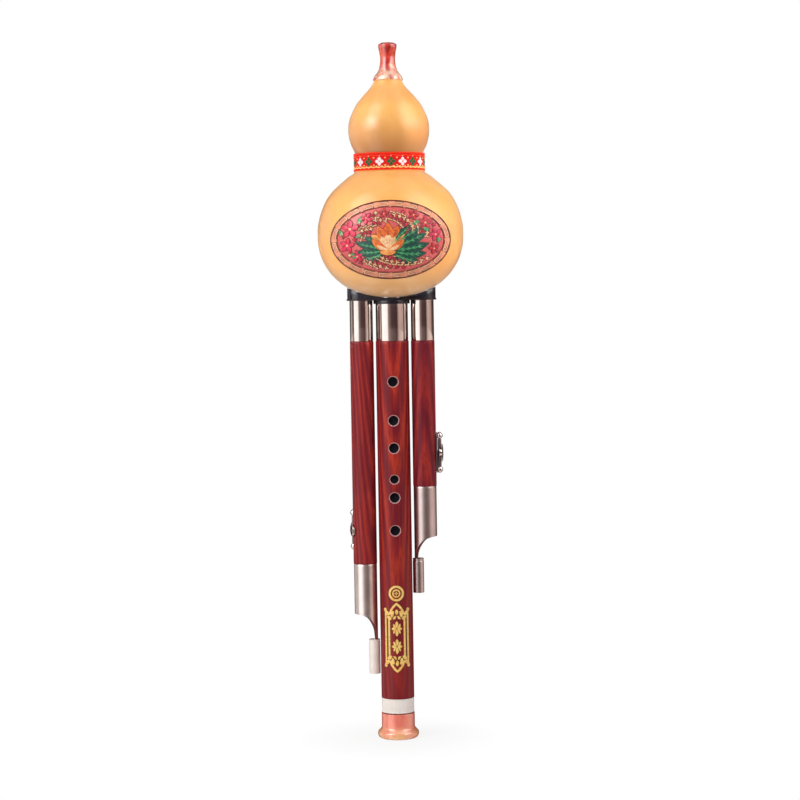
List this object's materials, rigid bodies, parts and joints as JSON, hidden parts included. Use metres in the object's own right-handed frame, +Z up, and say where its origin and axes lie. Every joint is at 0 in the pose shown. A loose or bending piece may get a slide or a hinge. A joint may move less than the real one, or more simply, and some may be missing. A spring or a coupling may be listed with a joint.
{
  "type": "gourd flute",
  "caption": "Gourd flute: lacquered gourd wind chamber over a fingered wooden pipe flanked by keyed drone pipes, with brass reeds inside and nickel fittings.",
  "frame": {"origin": "centre of the bell's foot, at the bottom of the instrument", "axes": "+Z up the main pipe towards the mouthpiece, -Y the front with the finger holes, +X towards the short drone"},
  "size_m": [0.096, 0.096, 0.46],
  "materials": {
    "gourd_skin": "lacquered",
    "marbled_resin": "polished",
    "ribbon_weave": "woven",
    "black_plastic": "glossy",
    "rubber": "matte",
    "rosewood": "lacquered",
    "nickel": "polished",
    "silver_band": "satin",
    "reed_brass": "rolled",
    "reed_holder": "moulded",
    "spring_steel": "blued",
    "pad_leather": "soft"
  },
  "bodies": {
    "gourd": {"gourd_shell": "gourd_skin", "mouthpiece": "marbled_resin", "waist_ribbon": "ribbon_weave", "pipe_base": "black_plastic", "main_socket_seal": "rubber", "left_socket_seal": "rubber", "right_socket_seal": "rubber"},
    "main_pipe": {"main_pipe_tube": "rosewood", "main_ferrule": "nickel", "main_reed_tube": "reed_holder", "main_reed_plate": "reed_brass", "main_tail_ring": "silver_band", "main_bell": "marbled_resin"},
    "left_drone": {"left_drone_tube": "rosewood", "left_drone_ferrule": "nickel", "left_drone_reed_tube": "reed_holder", "left_drone_reed_plate": "reed_brass", "left_drone_tail_sleeve": "nickel", "left_drone_tail_tube": "nickel", "left_key_plate": "nickel", "left_key_upper_post": "nickel", "left_key_lower_post": "nickel", "left_key_rod": "spring_steel", "left_key_spring": "spring_steel"},
    "right_drone": {"right_drone_tube": "rosewood", "right_drone_ferrule": "nickel", "right_drone_reed_tube": "reed_holder", "right_drone_reed_plate": "reed_brass", "right_drone_tail_sleeve": "nickel", "right_drone_tail_tube": "nickel", "right_key_plate": "nickel", "right_key_upper_post": "nickel", "right_key_lower_post": "nickel", "right_key_rod": "spring_steel", "right_key_spring": "spring_steel"},
    "left_key": {"left_key_lever": "nickel", "left_key_pad": "pad_leather"},
    "right_key": {"right_key_lever": "nickel", "right_key_pad": "pad_leather"}
  },
  "joints": [
    {"name": "main_pipe_slide", "type": "slide", "parent": "gourd", "child": "main_pipe", "axis": [0, 0, -1], "range_m": [0, 0.05]},
    {"name": "left_drone_slide", "type": "slide", "parent": "gourd", "child": "left_drone", "axis": [0, 0, -1], "range_m": [0, 0.034]},
    {"name": "right_drone_slide", "type": "slide", "parent": "gourd", "child": "right_drone", "axis": [0, 0, -1], "range_m": [0, 0.046]},
    {"name": "left_key_hinge", "type": "hinge", "parent": "left_drone", "child": "left_key", "pos_m": [-0.02771, 0.00676, 0.1388], "axis": [0, 0, -1], "range_deg": [0, 14], "stiffness_Nm_per_rad": 0.004, "springref_deg": -45.84},
    {"name": "right_key_hinge", "type": "hinge", "parent": "right_drone", "child": "right_key", "pos_m": [0.0303, 0, 0.1899], "axis": [0, 0, -1], "range_deg": [0, 14], "stiffness_Nm_per_rad": 0.004, "springref_deg": -45.84}
  ]
}
